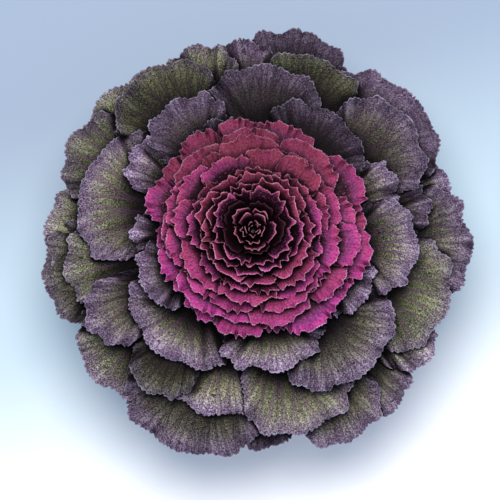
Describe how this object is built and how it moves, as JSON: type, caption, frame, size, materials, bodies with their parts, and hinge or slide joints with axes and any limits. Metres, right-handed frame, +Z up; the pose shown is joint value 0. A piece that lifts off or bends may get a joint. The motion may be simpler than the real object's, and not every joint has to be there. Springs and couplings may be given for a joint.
{
  "type": "potted ornamental kale",
  "caption": "Ornamental kale in a round clay pot: a low, tiered rosette of waved grey-purple leaves round a dense magenta heart.",
  "frame": {"origin": "centre of the pot's flat underside, on the surface that it stands on", "axes": "+Z up along the stem; +X and +Y level, with +Y towards the leaf that lies highest in the view from above"},
  "size_m": [0.3521, 0.3485, 0.2337],
  "materials": {
    "clay": "unglazed terracotta",
    "potting_soil": "loose peat compost",
    "stem_bark": "dull green stalk",
    "outer_leaf": "waxy, matt, mottled",
    "heart_leaf": "waxy, satin"
  },
  "bodies": {
    "root": {"heart": "heart_leaf", "inner_leaf_5_1": "heart_leaf", "inner_leaf_5_10": "heart_leaf", "inner_leaf_5_11": "heart_leaf", "inner_leaf_5_12": "heart_leaf", "inner_leaf_5_13": "heart_leaf", "inner_leaf_5_14": "heart_leaf", "inner_leaf_5_15": "heart_leaf", "inner_leaf_5_2": "heart_leaf", "inner_leaf_5_3": "heart_leaf", "inner_leaf_5_4": "heart_leaf", "inner_leaf_5_5": "heart_leaf", "inner_leaf_5_6": "heart_leaf", "inner_leaf_5_7": "heart_leaf", "inner_leaf_5_8": "heart_leaf", "inner_leaf_5_9": "heart_leaf", "outer_leaf_1_1": "outer_leaf", "outer_leaf_1_10": "outer_leaf", "outer_leaf_1_11": "outer_leaf", "outer_leaf_1_12": "outer_leaf", "outer_leaf_1_13": "outer_leaf", "outer_leaf_1_14": "outer_leaf", "outer_leaf_1_15": "outer_leaf", "outer_leaf_1_16": "outer_leaf", "outer_leaf_1_2": "outer_leaf", "outer_leaf_1_3": "outer_leaf", "outer_leaf_1_4": "outer_leaf", "outer_leaf_1_5": "outer_leaf", "outer_leaf_1_6": "outer_leaf", "outer_leaf_1_7": "outer_leaf", "outer_leaf_1_8": "outer_leaf", "outer_leaf_1_9": "outer_leaf", "outer_leaf_2_1": "outer_leaf", "outer_leaf_2_10": "outer_leaf", "outer_leaf_2_11": "outer_leaf", "outer_leaf_2_12": "outer_leaf", "outer_leaf_2_2": "outer_leaf", "outer_leaf_2_3": "outer_leaf", "outer_leaf_2_4": "outer_leaf", "outer_leaf_2_5": "outer_leaf", "outer_leaf_2_6": "outer_leaf", "outer_leaf_2_7": "outer_leaf", "outer_leaf_2_8": "outer_leaf", "outer_leaf_2_9": "outer_leaf", "outer_leaf_3_1": "outer_leaf", "outer_leaf_3_2": "outer_leaf", "outer_leaf_3_3": "outer_leaf", "outer_leaf_3_4": "outer_leaf", "outer_leaf_3_5": "outer_leaf", "outer_leaf_3_6": "outer_leaf", "outer_leaf_3_7": "outer_leaf", "outer_leaf_3_8": "outer_leaf", "outer_leaf_4_1": "outer_leaf", "outer_leaf_4_2": "outer_leaf", "outer_leaf_4_3": "outer_leaf", "outer_leaf_4_4": "outer_leaf", "outer_leaf_4_5": "outer_leaf", "pot": "clay", "soil": "potting_soil", "stem": "stem_bark"}
  },
  "joints": []
}
